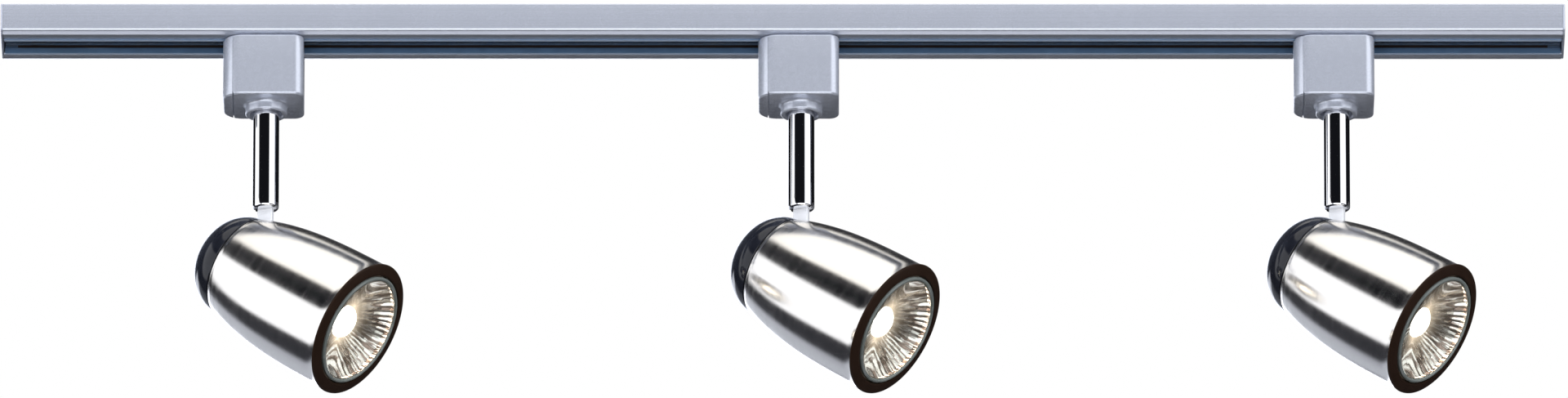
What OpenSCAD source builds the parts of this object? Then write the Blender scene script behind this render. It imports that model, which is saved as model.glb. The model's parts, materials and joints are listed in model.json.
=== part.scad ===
// Track lighting fixture: one length of low-profile single-circuit track with
// three swivelling spots. Millimetres. The origin is the centre of the track's
// ceiling face, X runs along the track, Y away from the room side, Z up.

/* [Track] */
// Length of the aluminium rail without its end caps
rail_len = 680; // [640:1:900]
// Width of the rail
rail_w = 35.4; // [35:0.2:38]
// Height of the rail from its ceiling face to its lips
rail_h = 13.2; // [13:0.1:16]
// Width of the slot between the rail's two lips
slot_w = 17.8; // [17.4:0.1:19]
// Thickness of each end cap's face
cap_t = 1; // [1:0.5:3]

/* [Spots] */
// Distance from one spot to the next
spot_pitch = 233.3; // [200:0.1:240]
// Place of the middle spot along the track
middle_spot_x = 8.1; // [-10:0.1:10]

/* [Adaptor] */
// Size of the adaptor box along the track
box_x = 35.2; // [35:0.2:38]
// Size of the adaptor box across the track
box_y = 31.6; // [31:0.2:34]
// Height of the adaptor box
box_z = 27.7; // [27:0.1:34]
// How far the box's middle is from the stem, towards the latch
box_shift = -1.2; // [-1.6:0.1:-0.8]
// Radius of the box's upright corners at its closed end
box_r = 4.5; // [4:0.5:6]
// Radius of the box's upright corners on the latch
latch_r = 8.5; // [5:0.5:9]
// Length of the latch piece that ends the box
latch_x = 4.2; // [3.5:0.1:4.5]
// How far the latch pulls down
latch_travel = 4; // [3:0.5:4]

/* [Stem] */
// Radius of the stem tube
stem_r = 5.55; // [5:0.05:6]
// Height of the tilt pivot
pivot_z = -84.9; // [-140:0.1:-80]
// Width of the tongue in the stem's fork
tongue_w = 6.8; // [5:0.1:7]
// Thickness of the tongue
tongue_t = 2.5; // [2:0.1:3]

/* [Head] */
// How far the beam points below the horizontal
head_pitch = 33.4; // [0:0.1:90]
// Turn of the head about the stem
head_pan = -22.9; // [-90:0.1:90]
// Radius of the barrel near its rim
barrel_r = 30; // [29:0.1:32]
// Length of the head from rim to seam
barrel_len = 66.8; // [62:0.1:80]
// Radius of the rear dome where it meets the barrel
dome_r = 22.7; // [22:0.1:25]
// Depth of the rear dome
dome_depth = 18.2; // [16:0.1:20]
// Radius of the lamp's glass
lamp_r = 25; // [24.5:0.1:25]

/* [Hidden] */
$fn = 64;
eps = 0.01;

// rail and what lies in it
web_t = 1.6;
wall_t = 1.8;
lip_t = 1.3;
side_h = rail_h - 0.9;
edge_y = rail_w / 2 - 3.3;
edge_r = 1;
fixing_r = 2.25;
cable_entry_r = 4;
cable_entry_x = -300;
channel_w = 13.9;
liner_out = rail_w / 2 - wall_t - 0.1;
liner_drop = 0.7;
groove_z = [-11, -7];
groove_back = 12.9;
strip_t = 0.8;
earth_y = [3.5, 6.5];
earth_z = -web_t - strip_t;
plug_len = 8;
plug_bottom = -7.5;
terminal_x = [-328, -308];
terminal_z = [-8.6, -2.6];
terminal_way_z = terminal_z[0] + 3.8;
terminal_ways = [-4.3, 0, 4.3];

// adaptor
box_top = -rail_h - 0.25;
box_bottom = box_top - box_z;
box_wall = 2;
latch_gap = 0.15;
latch_face = box_shift - box_x / 2 + latch_x;
floor_z = box_bottom + box_wall;
cavity_x = box_shift + box_x / 2 - box_wall;
cavity_y = box_y / 2 - box_wall;
upper_cavity_x = -7.5;
lower_cavity_x = -10.3;
shelf_z = -33;
collar_r = 9.1;
collar_h = 4.2;
collar_recess_r = 6.9;
collar_z = box_bottom - collar_h;
neck_r = 6.6;
neck_top = -3.5;
plate_z = [-17.4, box_top - 0.9];
notch_y = slot_w / 2 + 2.1;
lug_x = 5;
lug_y = 11.8;
lug_z = [-10.6, -7.4];
blade_x = 2;
blade_y = [4, groove_back - 0.2];
blade_z = [-9.6, -8.4];
blade_leg_bottom = -21;

// latch, its guide key and its spring
key_x = -9.2;
key_y = 2.9;
key_z = [-24, -17];
pocket_x = -8.7;
pocket_y = 3.2;
pocket_z = [key_z[0] - latch_travel - 3, -15];
nose_top = 2.2 - rail_h;
spring_x = -11.1;
spring_r = 1.5;
spring_wire_r = 0.25;
spring_turns = 4;

// stem
stem_top = -35;
stem_bottom = pivot_z - 4.4;
stem_bore_r = 4.3;
stem_bore_end = pivot_z + 5.5;
stem_lip_r = 1.1;
fork_gap = tongue_t + 0.2;
fork_room = tongue_w / 2 + 0.3;
fork_top = pivot_z + fork_room;
run_gap = 0.07;
pin_r = 1.2;
nut_r = 7.8;
nut_z = [floor_z + 0.1, floor_z + 3.1];
stop_r = [7.4, 9.6];
stop_w = 1;
stop_h = 1.6;

// head, in its own frame: the origin is the seam's centre, Z points out of
// the dome's back, X towards the pivot
pivot_from_seam = [31.2, 0, 6.7];
tongue_len = 15;
shell_t = 1.1;
seam_gap = 0.35;
taper = barrel_r - dome_r - 0.3;
taper_power = 3.15;
bead = 0.7;
bead_len = 4;
ring_inner_r = lamp_r + 0.6;
ring_lean = 1.3;
bracket_r = 21.2;
bracket_z = [1, 2.4];
bracket_skirt = 2.5;
lampholder_r = 13;
lampholder_z = [-21.5, 1];
lamp_front = -barrel_len - 1.9;
lamp_neck_r = 11;
lamp_neck_z = lamp_front + 30.4;
lamp_base_z = lamp_front + 45.4;
lamp_pin_y = 5;
lamp_pin_end = lamp_front + 53.9;
wire_r = 0.9;

SPOTS = ["left", "middle", "right"];
SPOT_PARTS = [
    "adaptor_housing", "contact_carrier", "contacts", "latch", "latch_spring",
    "stem_tube", "stem_nut", "pivot_pin",
    "knuckle", "rear_dome", "barrel", "front_ring", "lamp_body", "lamp_lens",
    "lampholder", "holder_bracket", "head_wires"
];
TRACK_PARTS = [
    "rail", "liner_front", "liner_rear", "conductors", "earth_strip",
    "terminal_block", "terminal_screws", "end_feed_cap", "dead_end_cap"
];

// colours
silver = [0.71, 0.73, 0.77];
chrome = [0.86, 0.87, 0.9];
steel = [0.78, 0.77, 0.75];
black = [0.05, 0.05, 0.07];
copper = [0.8, 0.45, 0.28];
brass = [0.82, 0.66, 0.32];

// ---------------------------------------------------------------- helpers

// box between two corners
module block(low, high) {
    translate(low) cube(high - low);
}

// flat rectangle between two corners
module sheet2d(low, high) {
    translate(low) square(high - low);
}

// rectangle with round corners, centred, with a radius for each end of X
module rounded_rect(w, h, low_r, high_r) {
    sheet2d([low_r - w / 2, -h / 2], [w / 2 - high_r, h / 2]);
    for (end = [[-1, low_r], [1, high_r]])
        translate([end[0] * (w / 2 - end[1]), 0]) {
            square([2 * end[1], h - 2 * end[1]], center = true);
            for (y = [-1, 1]) translate([0, y * (h / 2 - end[1])]) circle(end[1]);
        }
}

// carry a section drawn in Y, Z along the track
module along_track(length) {
    rotate([90, 0, 90]) linear_extrude(length, center = true) children();
}

// carry an outline drawn in X, Z through a thickness along Y
module across(thickness) {
    rotate([90, 0, 0]) linear_extrude(thickness, center = true) children();
}

// a round tube along a list of points, closed at both ends
module tube_along(path, r, sides = 8) {
    last = len(path) - 1;
    rings = [for (i = [0:last]) ring_at(path, i, r, sides)];
    points = [for (ring = rings) for (p = ring) p];
    walls = [for (i = [0:last - 1], k = [0:sides - 1])
        [i * sides + k, i * sides + (k + 1) % sides,
            (i + 1) * sides + (k + 1) % sides, (i + 1) * sides + k]];
    start = [[for (k = [sides - 1:-1:0]) k]];
    end = [[for (k = [0:sides - 1]) last * sides + k]];
    polyhedron(points, concat(walls, start, end));
}

function unit(v) = v / norm(v);
function direction(path, i) =
    unit(path[min(i + 1, len(path) - 1)] - path[max(i - 1, 0)]);
function side_of(d) = unit(cross(abs(d.z) < 0.8 ? [0, 0, 1] : [1, 0, 0], d));
function ring_at(path, i, r, sides) =
    let (d = direction(path, i), u = side_of(d), v = cross(d, u))
    [for (k = [0:sides - 1])
        path[i] + r * (cos(360 * k / sides) * u - sin(360 * k / sides) * v)];

// point at t from 0 to 1 on a smooth curve through four control points
function bezier(p, t) =
    pow(1 - t, 3) * p[0] + 3 * pow(1 - t, 2) * t * p[1]
    + 3 * (1 - t) * pow(t, 2) * p[2] + pow(t, 3) * p[3];

// places
function spot_x(i) = middle_spot_x + (i - 1) * spot_pitch;
module at_spot(i) {
    translate([spot_x(i), 0, 0]) children();
}
module at_stem(i) {
    at_spot(i) rotate([0, 0, head_pan]) children();
}
module at_head(i) {
    at_stem(i) translate([0, 0, pivot_z]) rotate([0, head_pitch - 90, 0])
        translate(-pivot_from_seam) children();
}

// ---------------------------------------------------------------- track

// half of the rail's outline: a flat back, a side, a small round edge and a
// shallow slope down to the lip
module rail_outline() {
    slope = atan((rail_h - side_h + 0.2) / (rail_w / 2 - edge_y));
    turn = 90 - slope;
    edge = [for (k = [0:5])
        [rail_w / 2 - edge_r + edge_r * cos(turn * k / 5),
            edge_r - side_h - edge_r * sin(turn * k / 5)]];
    half = concat([[rail_w / 2, 0]], edge, [[edge_y, -rail_h]]);
    other = [for (k = [len(half) - 1:-1:0]) [-half[k].x, half[k].y]];
    polygon(concat(half, other));
}

module rail() {
    inner = rail_w / 2 - wall_t;
    color(silver) difference() {
        along_track(rail_len) difference() {
            rail_outline();
            sheet2d([-inner, lip_t - rail_h], [inner, -web_t]);
            sheet2d([-slot_w / 2, -rail_h - 1], [slot_w / 2, -web_t]);
        }
        for (side = [-0.5, 0.5])
            translate([middle_spot_x + side * spot_pitch, 0, -web_t - 1])
                cylinder(h = web_t + 2, r = fixing_r);
        translate([cable_entry_x, 0, -web_t - 1])
            cylinder(h = web_t + 2, r = cable_entry_r);
    }
}

module liner(side) {
    inner = channel_w / 2;
    hook = slot_w / 2 - 0.05;
    roof = -web_t - 0.1;
    lip_top = lip_t - rail_h + 0.05;
    color([0.07, 0.08, 0.16]) mirror([0, side < 0 ? 1 : 0, 0])
        along_track(rail_len - 1) difference() {
            union() {
                sheet2d([inner, lip_top], [liner_out, roof]);
                sheet2d([inner, -rail_h - liner_drop], [hook, lip_top + eps]);
            }
            sheet2d([inner - 1, groove_z[0]], [groove_back, groove_z[1]]);
            sheet2d([groove_back - eps, groove_z[0] + 0.5],
                [groove_back + strip_t, groove_z[1] - 0.5]);
        }
}

module liner_front() {
    liner(-1);
}

module liner_rear() {
    liner(1);
}

module conductors() {
    color(copper) for (side = [0, 1])
        mirror([0, side, 0]) along_track(rail_len - 12)
            sheet2d([groove_back + 0.05, groove_z[0] + 0.55],
                [groove_back + strip_t - 0.05, groove_z[1] - 0.55]);
}

module earth_strip() {
    color(copper) along_track(rail_len - 2 * plug_len - 4)
        sheet2d([earth_y[0], earth_z], [earth_y[1], -web_t]);
}

module terminal_block() {
    half = channel_w / 2 - 0.3;
    middle = (terminal_x[0] + terminal_x[1]) / 2;
    color(black) difference() {
        block([terminal_x[0], -half, terminal_z[0]], [terminal_x[1], half, terminal_z[1]]);
        for (y = terminal_ways) {
            translate([terminal_x[0] - 1, y, terminal_way_z]) rotate([0, 90, 0])
                cylinder(h = terminal_x[1] - terminal_x[0] + 2, r = 1.3);
            translate([middle, y, terminal_z[0] - 1]) cylinder(h = 4, r = 1.25);
        }
    }
}

module terminal_screws() {
    middle = (terminal_x[0] + terminal_x[1]) / 2;
    color(brass) for (y = terminal_ways)
        translate([middle, y, terminal_z[0] + 0.4]) difference() {
            cylinder(h = 1.7, r = 1.2);
            block([-2, -0.25, -1], [2, 0.25, 0.6]);
        }
}

// a face with the rail's outline and a plug that fills the top of the channel behind it
module end_cap(side) {
    half = channel_w / 2 - 0.25;
    mirror([side < 0 ? 1 : 0, 0, 0]) {
        translate([(rail_len + cap_t) / 2, 0, 0]) along_track(cap_t) rail_outline();
        block([rail_len / 2 - plug_len, -half, plug_bottom],
            [rail_len / 2 + eps, half, -web_t - 0.3]);
    }
}

module end_feed_cap() {
    color(silver) end_cap(-1);
}

module dead_end_cap() {
    color(silver) end_cap(1);
}

// ---------------------------------------------------------------- adaptor

module box_outline() {
    difference() {
        translate([box_shift, 0, box_bottom]) linear_extrude(box_z)
            rounded_rect(box_x, box_y, latch_r, box_r);
        block([-box_x, -notch_y, plate_z[1]], [box_x, notch_y, 0]);
    }
}

module adaptor_housing(i) {
    color(silver) at_spot(i) {
        difference() {
            union() {
                intersection() {
                    box_outline();
                    block([latch_face + latch_gap, -box_y, collar_z], [box_x, box_y, 0]);
                }
                translate([0, 0, collar_z]) cylinder(h = collar_h + eps, r = collar_r);
            }
            block([upper_cavity_x, -cavity_y, shelf_z - eps], [cavity_x, cavity_y, 0]);
            block([lower_cavity_x, -cavity_y, floor_z], [cavity_x, cavity_y, shelf_z]);
            block([latch_face - 1, -pocket_y, pocket_z[0]], [pocket_x, pocket_y, pocket_z[1]]);
            translate([0, 0, collar_z - 1])
                cylinder(h = box_z, r = stem_r + run_gap);
            translate([0, 0, collar_z - 1])
                cylinder(h = collar_h, r = collar_recess_r);
        }
        block([-stop_r[1], -stop_w / 2, floor_z - eps],
            [-stop_r[0] - 0.6, stop_w / 2, floor_z + stop_h]);
    }
}

// the brass blades: one leg each for live and neutral, and a stud for earth
module blades() {
    for (side = [0, 1]) mirror([0, side, 0]) {
        block([-blade_x, blade_y[0], blade_z[0]], [blade_x, blade_y[1], blade_z[1]]);
        block([-blade_x, blade_y[0], blade_leg_bottom],
            [blade_x, blade_y[0] + 1, blade_z[0] + eps]);
    }
    block([-1.5, earth_y[0] + 0.3, neck_top - 1.5],
        [1.5, earth_y[1] - 0.3, earth_z - 0.2]);
}

module contact_carrier(i) {
    plate_x = [upper_cavity_x + 0.2, cavity_x - 0.2];
    color(black) at_spot(i) difference() {
        union() {
            block([plate_x[0], -cavity_y + 0.2, plate_z[0]],
                [plate_x[1], cavity_y - 0.2, plate_z[1]]);
            translate([0, 0, plate_z[1] - eps])
                cylinder(h = neck_top - plate_z[1], r = neck_r);
            block([-lug_x, -lug_y, lug_z[0]], [lug_x, lug_y, lug_z[1]]);
        }
        blades();
    }
}

module contacts(i) {
    color(brass) at_spot(i) blades();
}

module latch(i) {
    color(silver) at_spot(i) {
        intersection() {
            box_outline();
            block([-box_x, -box_y, collar_z], [latch_face, box_y, 0]);
        }
        block([latch_face - eps, -key_y, key_z[0]], [key_x, key_y, key_z[1]]);
        block([latch_face - 3, -4, plate_z[1] - eps], [latch_face - 0.5, 4, nose_top]);
    }
}

module latch_spring(i) {
    steps = 12 * spring_turns;
    low = pocket_z[0] + spring_wire_r;
    rise = key_z[0] - pocket_z[0] - 2 * spring_wire_r;
    coil = [for (k = [0:steps])
        [spring_x + spring_r * cos(30 * k), spring_r * sin(30 * k), low + rise * k / steps]];
    color(chrome) at_spot(i) tube_along(coil, spring_wire_r, 6);
}

// ---------------------------------------------------------------- stem

// room for the tongue as it swings from level ahead to straight down, drawn in
// X, Z from the pivot
module swing_room() {
    reach = 14;
    ahead = head_pitch;
    down = head_pitch - 90;
    arc = [for (k = [0:12])
        let (a = ahead + (180 + down - ahead) * k / 12)
        fork_room * [cos(a), sin(a)]];
    polygon(concat(arc, [
        arc[12] + reach * [sin(down), -cos(down)],
        arc[0] + reach * [sin(ahead), -cos(ahead)]
    ]));
}

module stem_tube(i) {
    lip = [for (a = [0:15:90])
        [stem_r - stem_lip_r + stem_lip_r * cos(a),
            stem_bottom + stem_lip_r - stem_lip_r * sin(a)]];
    section = concat([[stem_r, stem_top]], lip,
        [[0, stem_bottom], [0, stem_bore_end], [stem_bore_r, stem_bore_end],
            [stem_bore_r, stem_top]]);
    color(chrome) at_stem(i) difference() {
        rotate_extrude() polygon(section);
        translate([0, 0, pivot_z]) across(fork_gap) swing_room();
        translate([0, 0, fork_top - 1]) cylinder(h = 4, r = 1.4);
        translate([0, 0, pivot_z]) rotate([90, 0, 0])
            cylinder(h = 4 * stem_r, r = pin_r, center = true);
    }
}

module stem_nut(i) {
    color(brass) at_spot(i) difference() {
        union() {
            translate([0, 0, nut_z[0]]) cylinder(h = nut_z[1] - nut_z[0], r = nut_r, $fn = 6);
            block([stop_r[0] - 1.6, -stop_w / 2, nut_z[0]],
                [stop_r[1], stop_w / 2, nut_z[0] + stop_h]);
        }
        translate([0, 0, nut_z[0] - 1]) cylinder(h = 6, r = stem_r + 0.03);
    }
}

module pivot_pin(i) {
    color(chrome) at_stem(i) translate([0, 0, pivot_z]) rotate([90, 0, 0])
        cylinder(h = 2 * stem_r - 0.5, r = pin_r, center = true);
}

// ---------------------------------------------------------------- head

// outline of the tongue from the pivot down into the dome, drawn in the head's
// X, Z, with room to spare all round
module tongue_outline(length, room) {
    r = tongue_w / 2 + room;
    round_end = [for (a = [90:10:270]) r * [cos(a), sin(a)]];
    translate([pivot_from_seam.x, pivot_from_seam.z]) rotate(180 + head_pitch)
        polygon(concat(round_end, [[length, -r], [length, r]]));
}

// the room that the shells and the bracket leave for the tongue
module tongue_slot() {
    across(tongue_t + 0.4) tongue_outline(tongue_len + 1, 0.2);
}

module knuckle(i) {
    foot_low = [12, -4, bracket_z[1]];
    foot_high = [20.5, 4, bracket_z[1] + 1.5];
    color(chrome) at_head(i) difference() {
        union() {
            across(tongue_t) tongue_outline(tongue_len, 0);
            block(foot_low, foot_high);
        }
        translate(pivot_from_seam) rotate([90, 0, 0])
            cylinder(h = 8, r = pin_r + 0.05, center = true);
    }
}

// points of an elliptic quarter from the seam to the pole
function dome_arc(r, depth, low) =
    let (start = asin(low / depth))
    [for (k = [0:10])
        let (a = start + (90 - start) * k / 10)
        [r * cos(a), depth * sin(a)]];

module rear_dome(i) {
    outer = dome_arc(dome_r, dome_depth, seam_gap);
    inner = dome_arc(dome_r - shell_t, dome_depth - shell_t, seam_gap);
    reversed = [for (k = [len(inner) - 1:-1:0]) inner[k]];
    color(black) at_head(i) difference() {
        rotate_extrude() polygon(concat(outer, reversed));
        tongue_slot();
    }
}

// radius of the barrel at a distance behind the rim: a slow taper that
// quickens towards the seam, and a small bead at the rim
function barrel_taper(s) = barrel_r - taper * pow(s / barrel_len, taper_power);
function barrel_radius(s) = barrel_taper(s) + bead * pow(max(0, 1 - s / bead_len), 2);

module barrel(i) {
    front = 0.5;
    span = barrel_len - seam_gap - front;
    outer = [for (k = [0:18])
        let (s = front + span * k / 18)
        [barrel_radius(s), s - barrel_len]];
    inner = [for (k = [18:-1:0])
        let (s = front + span * k / 18)
        [barrel_taper(s) - shell_t, s - barrel_len]];
    color(steel) at_head(i) difference() {
        rotate_extrude() polygon(concat(outer, inner));
        tongue_slot();
    }
}

module front_ring(i) {
    outer_r = barrel_r + bead;
    back = 0.5 - barrel_len;
    skirt_r = barrel_r - shell_t - 0.15;
    section = [
        [ring_inner_r, back], [ring_inner_r, -barrel_len - ring_lean],
        [outer_r - 0.6, -barrel_len - 0.3], [outer_r, back - 0.2], [outer_r, back],
        [skirt_r, back], [skirt_r, back + 4], [skirt_r - 1, back + 4], [skirt_r - 1, back]
    ];
    color([0.09, 0.06, 0.05]) at_head(i) rotate_extrude() polygon(section);
}

// radius of the lamp's bowl at a height above the lens seat
function bowl_radius(t) = lamp_neck_r + (lamp_r - lamp_neck_r - 0.4) * sqrt(1 - t);

module lamp_body(i) {
    rim = lamp_front + 1.6;
    bowl = lamp_neck_z - rim - 1.5;
    outer = [for (k = [0:10])
        let (t = k / 10)
        [bowl_radius(t), rim + 1.5 + bowl * t]];
    inner = [for (k = [9:-1:0])
        let (t = k / 10)
        [bowl_radius(t) - 1.1, rim + 1.5 + bowl * t]];
    color([0.8, 0.82, 0.8]) at_head(i) {
        rotate_extrude() polygon(concat([[lamp_r, rim], [lamp_r, rim + 1.5]],
            outer, [[0, lamp_neck_z], [0, lamp_neck_z - 1.5]], inner, [[lamp_r - 1.5, rim]]));
        translate([0, 0, lamp_neck_z - eps])
            cylinder(h = lamp_base_z - lamp_neck_z, r = lamp_neck_r);
        translate([0, 0, lamp_neck_z - 15]) cylinder(h = 14, r = 4.5);
        for (side = [-1, 1]) translate([0, side * lamp_pin_y, 0]) {
            translate([0, 0, lamp_base_z - 1])
                cylinder(h = lamp_pin_end - lamp_base_z, r = 1.5);
            translate([0, 0, lamp_pin_end - 2.2]) cylinder(h = 2.2, r = 2.5);
        }
    }
}

module lamp_lens(i) {
    section = [[0, lamp_front], [lamp_r - 6, lamp_front + 0.2], [lamp_r - 1.6, lamp_front + 0.9],
        [lamp_r - 1.6, lamp_front + 2.6], [0, lamp_front + 1.8]];
    color([0.85, 0.92, 0.9, 0.5]) at_head(i) rotate_extrude() polygon(section);
}

module lampholder(i) {
    color([0.93, 0.92, 0.88]) at_head(i) difference() {
        translate([0, 0, lampholder_z[0]])
            cylinder(h = lampholder_z[1] - lampholder_z[0], r = lampholder_r);
        for (side = [-1, 1]) {
            translate([0, side * lamp_pin_y, lampholder_z[0] - 1])
                cylinder(h = lamp_pin_end - lampholder_z[0] + 1.5, r = 2.8);
            translate([side * 8, 0, lampholder_z[1] - 5]) cylinder(h = 6, r = 1.3);
        }
    }
}

module holder_bracket(i) {
    color(steel) at_head(i) difference() {
        translate([0, 0, bracket_z[0] - bracket_skirt])
            cylinder(h = bracket_z[1] - bracket_z[0] + bracket_skirt, r = bracket_r);
        translate([0, 0, bracket_z[0] - bracket_skirt - 1])
            cylinder(h = bracket_skirt + 1, r = bracket_r - 0.8);
        for (side = [-1, 1]) {
            translate([side * 8, 0, 0]) cylinder(h = 6, r = 1.4);
            translate([0, side * 9, 0]) cylinder(h = 6, r = 2.2);
        }
        tongue_slot();
    }
}

// two insulated leads from the lampholder's back, through the bracket, to the
// hollow of the swivel
module head_wires(i) {
    color([0.88, 0.88, 0.84]) at_head(i) for (side = [-1, 1]) {
        route = [[0, side * 9, lampholder_z[1] + 0.1], [0, side * 9, 9],
            [6, side * 7, 13], [13, side * 3.6, 8.5]];
        tube_along([for (k = [0:12]) bezier(route, k / 12)], wire_r);
    }
}

// ---------------------------------------------------------------- assembly

rail();
liner_front();
liner_rear();
conductors();
earth_strip();
terminal_block();
terminal_screws();
end_feed_cap();
dead_end_cap();
for (i = [0:2]) {
    adaptor_housing(i);
    contact_carrier(i);
    contacts(i);
    latch(i);
    latch_spring(i);
    stem_tube(i);
    stem_nut(i);
    pivot_pin(i);
    knuckle(i);
    rear_dome(i);
    barrel(i);
    front_ring(i);
    lamp_body(i);
    lamp_lens(i);
    lampholder(i);
    holder_bracket(i);
    head_wires(i);
}
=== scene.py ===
"""Looks of a ceiling track with three swivelling spots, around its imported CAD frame."""

import json
import math

import bmesh
import bpy
from mathutils import Matrix, Vector


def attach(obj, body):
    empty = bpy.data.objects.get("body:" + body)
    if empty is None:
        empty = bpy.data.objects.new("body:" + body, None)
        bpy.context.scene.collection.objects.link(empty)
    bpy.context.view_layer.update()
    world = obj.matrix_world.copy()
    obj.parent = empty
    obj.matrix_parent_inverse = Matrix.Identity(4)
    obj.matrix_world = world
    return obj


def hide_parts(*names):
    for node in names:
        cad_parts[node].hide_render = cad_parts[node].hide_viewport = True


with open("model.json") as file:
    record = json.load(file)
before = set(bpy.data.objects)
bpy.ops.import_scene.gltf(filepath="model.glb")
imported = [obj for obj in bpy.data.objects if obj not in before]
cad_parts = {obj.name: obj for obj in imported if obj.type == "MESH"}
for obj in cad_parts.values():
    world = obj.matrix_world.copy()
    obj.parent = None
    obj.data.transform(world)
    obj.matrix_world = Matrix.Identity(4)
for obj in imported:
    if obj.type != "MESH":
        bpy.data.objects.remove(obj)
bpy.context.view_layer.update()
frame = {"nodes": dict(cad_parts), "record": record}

MM = 0.001
SPOTS = ("left", "middle", "right")

# Sizes in millimetres. They are the CAD's, apart from a stem 0.15 mm larger in radius, a
# deeper spring pocket, a lamp eye and capsule sized for their glare, and fine edges and grooves.
RAIL_LEN, RAIL_W, RAIL_H, SLOT_W, CAP_T = 680, 35.4, 13.2, 17.8, 1
WEB_T, WALL_T, LIP_T, CHANNEL_W = 1.6, 1.8, 1.3, 13.9
EDGE_Y = RAIL_W / 2 - 3.3
FIXING_HOLE_R, CABLE_HOLE_R, CABLE_X = 2.25, 4, -300
CEILING_GROOVES = (-13, -6.5, 6.5, 13)
PLUG_LEN, PLUG_LOW = 8, -7.5
GROOVE_Z, GROOVE_BACK = (-11, -7), 12.9
SPOT_PITCH, MIDDLE_X = 233.3, 8.1
BOX_X, BOX_Y, BOX_Z, BOX_SHIFT = 35.2, 31.6, 27.7, -1.2
BOX_R, LATCH_R = 4.5, 8.5
BOX_TOP = -RAIL_H - 0.25
BOX_BOTTOM = BOX_TOP - BOX_Z
BOX_WALL = 2
LATCH_FACE = BOX_SHIFT - BOX_X / 2 + 4.2
LATCH_GAP, GROOVE_DEEP, STEP_WIDE, STEP_DEEP = 0.12, 0.3, 0.55, 1.3
NOTCH_Z, NOTCH_Y = BOX_TOP - 0.9, SLOT_W / 2 + 2.1
FLOOR_Z = BOX_BOTTOM + BOX_WALL
CAVITY_X, CAVITY_Y = BOX_SHIFT + BOX_X / 2 - BOX_WALL, BOX_Y / 2 - BOX_WALL
CAVITY_LEFT, NUT_ROOM_LEFT, NUT_ROOM_TOP = -7.5, -10.3, -33
POCKET_RIGHT, POCKET_Y, POCKET_Z = -8.7, 3.2, (-35.2, -15)
STOP_X, STOP_Y, STOP_H = (-9.6, -8), 0.5, 1.6
NOSE_T, NOSE_Y, NOSE_TOP = 2.5, 4, 2.2 - RAIL_H
TAB_RIGHT, TAB_Y, TAB_Z = -9.2, 2.9, (-24, -17)
COLLAR_R, COLLAR_H, RECESS_R = 9.1, 4.2, 6.9
COLLAR_Z = BOX_BOTTOM - COLLAR_H
STEM_R, STEM_TOP, PIVOT_Z = 5.7, -35, -84.9
STEM_BOTTOM = PIVOT_Z - 4.4
STEM_BORE_R, WIRE_HOLE_R, BORE_END_Z, LIP_R = 4.3, 1.4, PIVOT_Z + 5.5, 1.1
TONGUE_W, TONGUE_T, TONGUE_LEN = 6.8, 2.5, 15
FOOT_LOW, FOOT_HIGH = (12, -4, 2.4), (20.5, 4, 3.9)
SWING_PLAY, SWING_REACH, SWING_STEPS = 0.3, 14, 12
PIN_R = 1.2
HEAD_PITCH, HEAD_PAN = 33.4, -22.9
PIVOT_FROM_SEAM = Vector((31.2, 0, 6.7))
BARREL_R, BARREL_LEN, DOME_R, DOME_DEPTH = 30, 66.8, 22.7, 18.2
SHELL_T, SEAM_GAP, SEAM_EDGE_R = 1.1, 0.35, 0.5
TAPER_POWER, BEAD, BEAD_LEN = 3.15, 0.7, 4
LAMP_R = 25
LAMP_FRONT = -BARREL_LEN - 1.9
LAMP_NECK_R = 11
LAMP_EYE_R, LAMP_EYE_DEEP, EYE_BACK = 9.5, 13, 22
FLUTE_SIDES, FLUTE_ROWS, FLUTE_DEEP = 124, 6, 0.35
CAPSULE_R, CAPSULE_NOSE, CAPSULE_Z = 7.4, 4.5, (6.5, 23.4)
LAMP_NECK_Z = LAMP_FRONT + 30.4
LAMP_BASE_Z = LAMP_FRONT + 45.4
LAMP_PIN_END = LAMP_FRONT + 53.9
BASE_PIN_R, BASE_PIN_HEAD_R, BASE_PIN_Y = 1.5, 2.5, 5
FAR = 60  # further than the adaptor reaches, for boxes that cut away a whole side

# The camera's distance is in metres and its elevation in degrees; the rest is in millimetres.
CAMERA_DISTANCE, CAMERA_ELEVATION, LENS = 14.0, -21, 1000
AIM_RIGHT, AIM_DOWN, VIEW_HEIGHT = 0.53, 78.8, 173.6
FLOOR_LEVEL, FLOOR_HALF = -6, 40  # metres


# ---------------------------------------------------------------- camera

def make_camera():
    """A long lens far in front of the track, looking up at it."""
    elevation = math.radians(CAMERA_ELEVATION)
    back = Vector((0, -math.cos(elevation), math.sin(elevation)))
    right = Vector((1, 0, 0))
    up = back.cross(right)
    aim = right * AIM_RIGHT * MM - up * AIM_DOWN * MM
    data = bpy.data.cameras.new("camera")
    data.lens = LENS
    data.sensor_fit = "VERTICAL"
    data.sensor_height = data.lens * VIEW_HEIGHT * MM / CAMERA_DISTANCE
    # the width only sets how far back the other views stand
    data.sensor_width = 95
    data.clip_start, data.clip_end = 0.1, 100
    camera = bpy.data.objects.new("camera", data)
    camera.matrix_world = Matrix.Translation(aim + back * CAMERA_DISTANCE) @ Matrix(
        (right, up, back)
    ).transposed().to_4x4()
    bpy.context.scene.collection.objects.link(camera)
    bpy.context.scene.camera = camera


make_camera()


# ---------------------------------------------------------------- node helpers

def node(tree, kind, inputs=None, **settings):
    """A new node with its inputs set: a socket is linked, anything else is a value."""
    made = tree.nodes.new(kind)
    for name, value in settings.items():
        setattr(made, name, value)
    for name, value in (inputs or {}).items():
        if isinstance(value, bpy.types.NodeSocket):
            tree.links.new(value, made.inputs[name])
        else:
            made.inputs[name].default_value = value
    return made


def calc(tree, operation, a, b=0.0):
    return node(tree, "ShaderNodeMath", {0: a, 1: b}, operation=operation).outputs[0]


def times(tree, a, b):
    return calc(tree, "MULTIPLY", a, b)


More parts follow.
